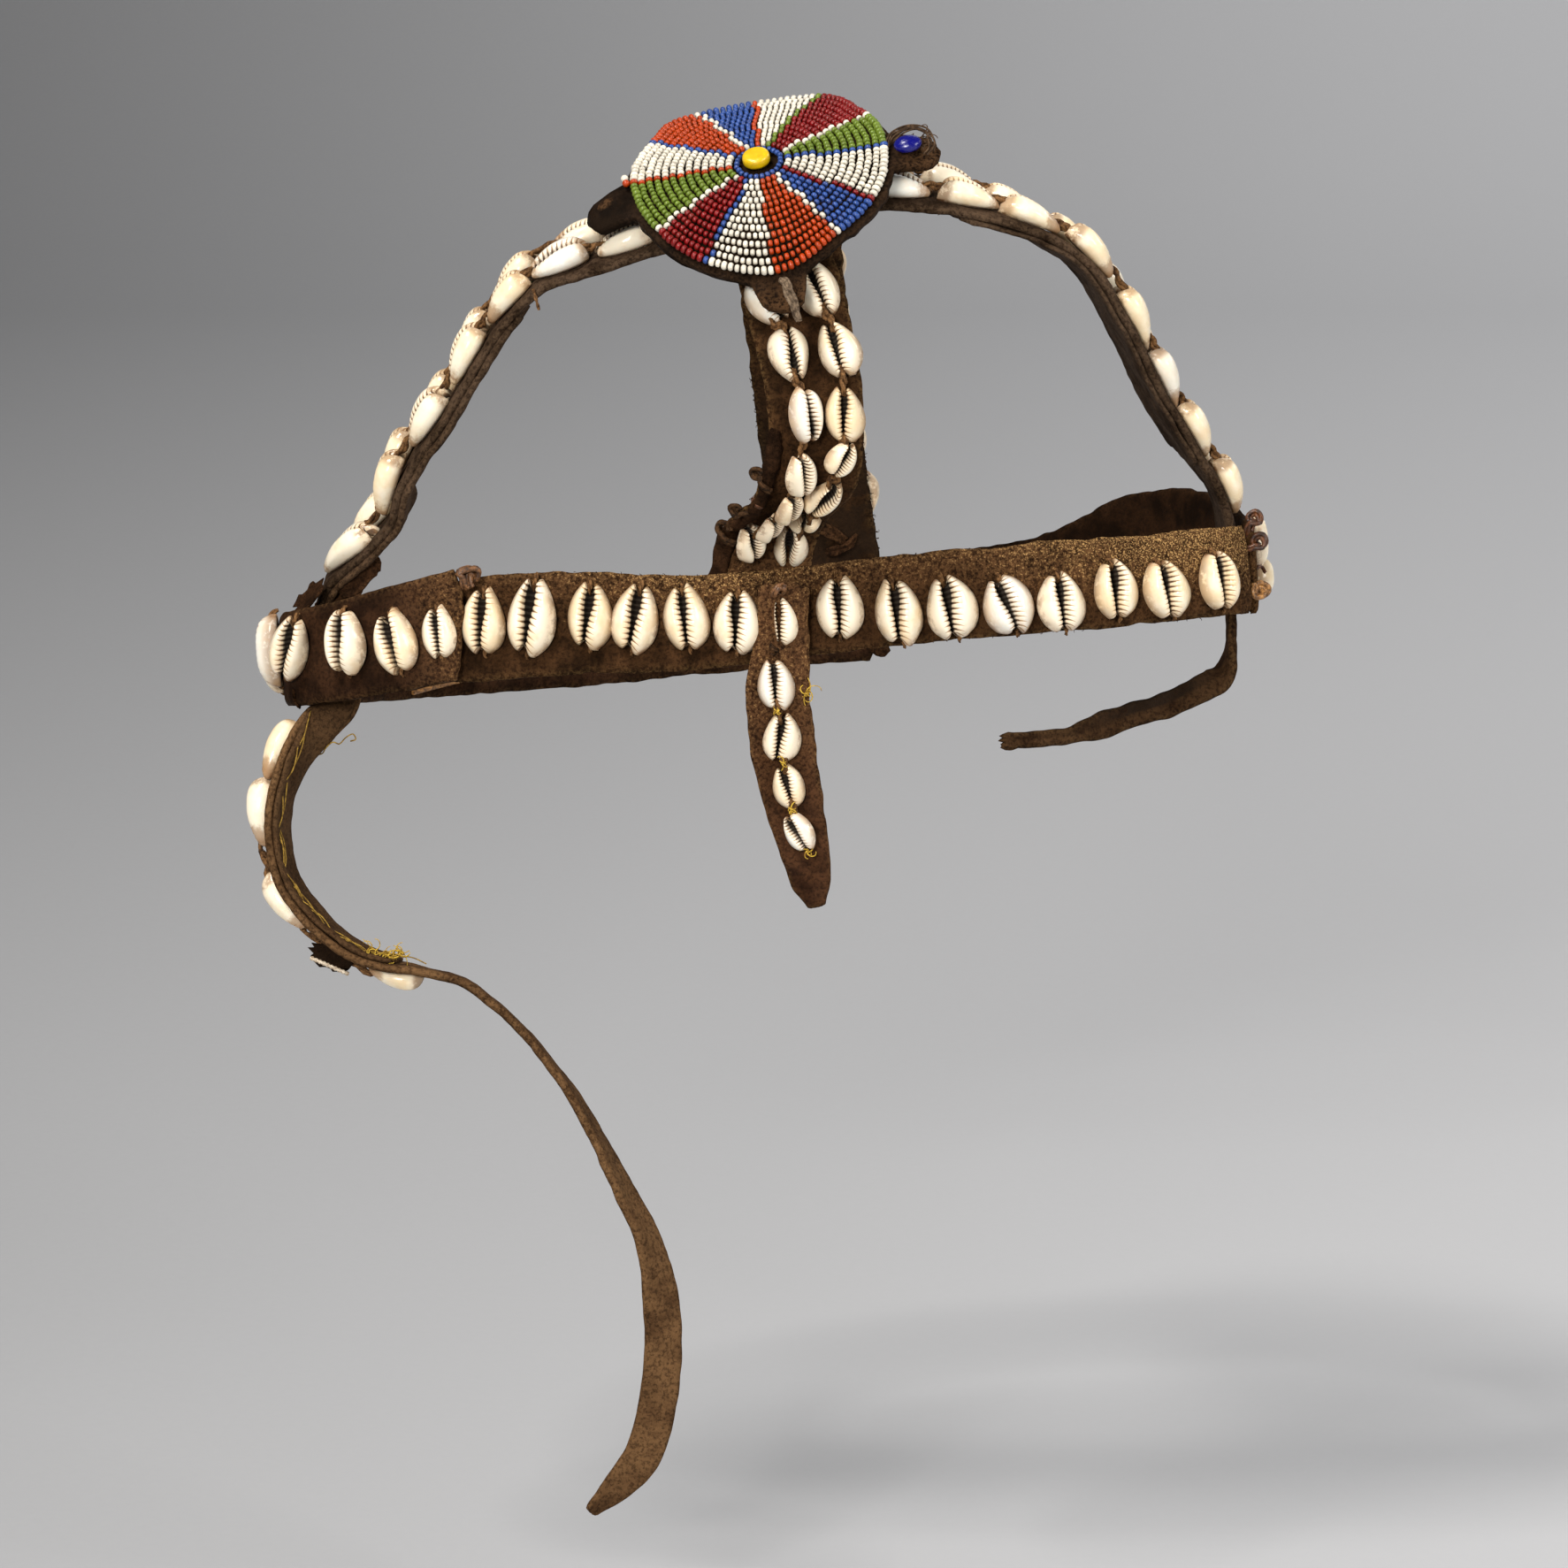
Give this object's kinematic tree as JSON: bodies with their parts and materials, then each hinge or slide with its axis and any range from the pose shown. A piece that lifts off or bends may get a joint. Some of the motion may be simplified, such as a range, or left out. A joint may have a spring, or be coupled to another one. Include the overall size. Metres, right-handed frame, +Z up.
{
  "type": "beaded headdress",
  "caption": "Leather head band with two crossing straps, rows of cowrie shells, a round beaded medallion on the crown, a short flap in front and a chin strap at each side.",
  "frame": {"origin": "underside of the crossing of the two straps, where it sits on the crown of the head", "axes": "+X towards the right of the headdress seen from the front, +Y backwards, +Z up"},
  "size_m": [0.2264, 0.1694, 0.3023],
  "materials": {
    "band_front": "rough dark suede",
    "band_left": "rough dark suede",
    "band_right": "rough dark suede",
    "ear_strap": "rough dark suede",
    "crown_strap": "rough dark suede",
    "pendant_strap": "rough dark suede",
    "long_chin_strap": "rough dark suede",
    "short_chin_strap": "rough dark suede",
    "band_front_cowries_right": "glossy ivory cowrie shell",
    "band_front_cowries_left": "glossy ivory cowrie shell",
    "band_lap_cowrie": "glossy ivory cowrie shell",
    "band_left_cowries": "glossy ivory cowrie shell",
    "band_right_cowries": "glossy ivory cowrie shell",
    "ear_cowries_right_near": "glossy ivory cowrie shell",
    "ear_cowries_right_far": "glossy ivory cowrie shell",
    "ear_cowries_left_near": "glossy ivory cowrie shell",
    "ear_cowries_left_far": "glossy ivory cowrie shell",
    "crown_front_cowries_left": "glossy ivory cowrie shell",
    "crown_front_cowries_right": "glossy ivory cowrie shell",
    "crown_back_cowries_left": "glossy ivory cowrie shell",
    "crown_back_cowries_right": "glossy ivory cowrie shell",
    "pendant_cowries": "glossy ivory cowrie shell",
    "chin_cowries": "glossy ivory cowrie shell",
    "medallion_backing": "dark smooth leather",
    "medallion_beadwork": "opaque glass seed beads",
    "medallion_centre_bead": "glossy yellow glass",
    "tab_bead": "glossy cobalt glass",
    "tab_thong": "twisted leather thong",
    "band_knot": "curled leather thong",
    "corner_knot_upper": "curled leather thong",
    "corner_knot_middle": "curled leather thong",
    "corner_knot_lower": "curled leather thong",
    "strap_knot_upper": "curled leather thong",
    "strap_knot_middle": "curled leather thong",
    "strap_knot_lower": "curled leather thong"
  },
  "bodies": {
    "root": {"band_front": "band_front", "band_left": "band_left", "band_right": "band_right", "ear_strap": "ear_strap", "crown_strap": "crown_strap", "pendant_strap": "pendant_strap", "long_chin_strap": "long_chin_strap", "short_chin_strap": "short_chin_strap", "band_front_cowries_right": "band_front_cowries_right", "band_front_cowries_left": "band_front_cowries_left", "band_lap_cowrie": "band_lap_cowrie", "band_left_cowries": "band_left_cowries", "band_right_cowries": "band_right_cowries", "ear_cowries_right_near": "ear_cowries_right_near", "ear_cowries_right_far": "ear_cowries_right_far", "ear_cowries_left_near": "ear_cowries_left_near", "ear_cowries_left_far": "ear_cowries_left_far", "crown_front_cowries_left": "crown_front_cowries_left", "crown_front_cowries_right": "crown_front_cowries_right", "crown_back_cowries_left": "crown_back_cowries_left", "crown_back_cowries_right": "crown_back_cowries_right", "pendant_cowries": "pendant_cowries", "chin_cowries": "chin_cowries", "medallion_backing": "medallion_backing", "medallion_beadwork": "medallion_beadwork", "medallion_centre_bead": "medallion_centre_bead", "tab_bead": "tab_bead", "tab_thong": "tab_thong", "band_knot": "band_knot", "corner_knot_upper": "corner_knot_upper", "corner_knot_middle": "corner_knot_middle", "corner_knot_lower": "corner_knot_lower", "strap_knot_upper": "strap_knot_upper", "strap_knot_middle": "strap_knot_middle", "strap_knot_lower": "strap_knot_lower"}
  },
  "joints": []
}
